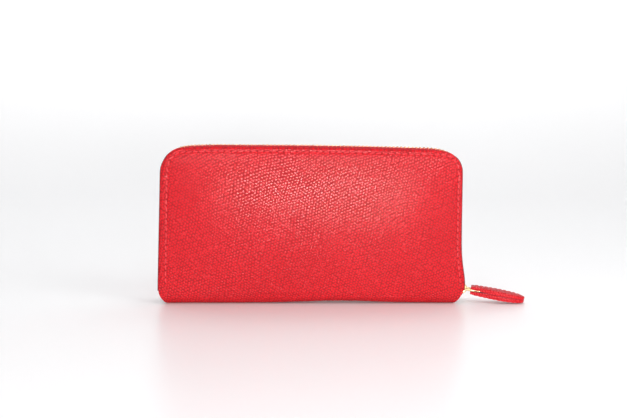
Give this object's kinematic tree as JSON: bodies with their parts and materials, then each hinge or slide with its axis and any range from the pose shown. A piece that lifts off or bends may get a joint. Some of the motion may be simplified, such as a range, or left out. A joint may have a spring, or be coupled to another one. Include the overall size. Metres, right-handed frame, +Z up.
{
  "type": "zip-around long wallet",
  "caption": "Long wallet with stiff leather covers hinged at a spine, closed round three sides by a metal zip, with card strips, bill compartments and a zipped coin pocket inside.",
  "frame": {"origin": "centre of the spine's flat underside, on the surface that the wallet stands on", "axes": "+X along the spine towards the end where the zip slider rests when closed, -Y out of the front cover, +Z up from the spine to the zip's top run"},
  "size_m": [0.239, 0.0263, 0.1019],
  "materials": {
    "outer_leather": "pebbled, semi-matte",
    "inner_leather": "smooth, semi-matte",
    "lining": "woven twill",
    "zip_tape": "woven tape",
    "thread": "waxed thread",
    "board": "pressed fibre board",
    "brass": "polished light gold"
  },
  "bodies": {
    "spine": {"spine_leather": "outer_leather", "spine_board": "board", "spine_lining": "lining", "zip_end_tab_left": "inner_leather", "zip_end_tab_right": "inner_leather", "coin_pocket_front_wall": "lining", "coin_pocket_back_wall": "lining", "coin_pocket_floor": "lining", "coin_pocket_left_end": "lining", "coin_pocket_right_end": "lining", "coin_zip_front_tape": "zip_tape", "coin_zip_back_tape": "zip_tape", "coin_zip_front_teeth": "brass", "coin_zip_back_teeth": "brass", "coin_zip_stops": "brass", "gusset_front_left": "lining", "gusset_front_right": "lining", "gusset_back_left": "lining", "gusset_back_right": "lining"},
    "front_cover": {"front_cover_leather": "outer_leather", "front_cover_board": "board", "front_cover_lining": "lining", "front_slip_pocket": "inner_leather", "front_card_strip_1": "inner_leather", "front_card_strip_2": "inner_leather", "front_card_strip_3": "inner_leather", "front_card_strip_4": "inner_leather", "front_zip_tape": "zip_tape", "front_zip_teeth": "brass", "front_zip_stop": "brass", "front_stitching": "thread"},
    "back_cover": {"back_cover_leather": "outer_leather", "back_cover_board": "board", "back_cover_lining": "lining", "back_slip_pocket": "inner_leather", "back_card_strip_1": "inner_leather", "back_card_strip_2": "inner_leather", "back_card_strip_3": "inner_leather", "back_card_strip_4": "inner_leather", "back_zip_tape": "zip_tape", "back_zip_teeth": "brass", "back_zip_stop": "brass", "back_stitching": "thread"},
    "zip_slider": {"slider_body": "brass", "slider_crown": "brass"},
    "zip_pull": {"pull_link": "brass", "pull_tab_upper": "outer_leather", "pull_tab_lower": "outer_leather", "pull_tab_stitching": "thread"},
    "coin_zip_slider": {"coin_slider": "brass"},
    "coin_zip_pull": {"coin_pull": "brass"}
  },
  "joints": [
    {"name": "back_cover_hinge", "type": "hinge", "parent": "spine", "child": "back_cover", "pos_m": [0, 0.0125, 0.00825], "axis": [-1, 0, 0], "range_deg": [0, 40], "deforming": ["gusset_back_left", "gusset_back_right"]},
    {"name": "front_cover_hinge", "type": "hinge", "parent": "spine", "child": "front_cover", "pos_m": [0, -0.0125, 0.00825], "axis": [1, 0, 0], "range_deg": [0, 40], "deforming": ["gusset_front_left", "gusset_front_right"]},
    {"name": "zip_slide", "type": "slide", "parent": "back_cover", "child": "zip_slider", "axis": [0, 0, 1], "range_m": [0, 0.068], "deforming": ["front_zip_teeth", "back_zip_teeth"]},
    {"name": "zip_pull_hinge", "type": "hinge", "parent": "zip_slider", "child": "zip_pull", "pos_m": [0.10148, 0, 0.0085], "axis": [-0.2079, -0.9781, 0], "range_deg": [-55, 75]},
    {"name": "coin_zip_slide", "type": "slide", "parent": "spine", "child": "coin_zip_slider", "axis": [-1, 0, 0], "range_m": [0, 0.146], "deforming": ["coin_zip_front_teeth", "coin_zip_back_teeth"]},
    {"name": "coin_pull_hinge", "type": "hinge", "parent": "coin_zip_slider", "child": "coin_zip_pull", "pos_m": [0.076, 0, 0.0793], "axis": [0, 1, 0], "range_deg": [0, 170]}
  ]
}
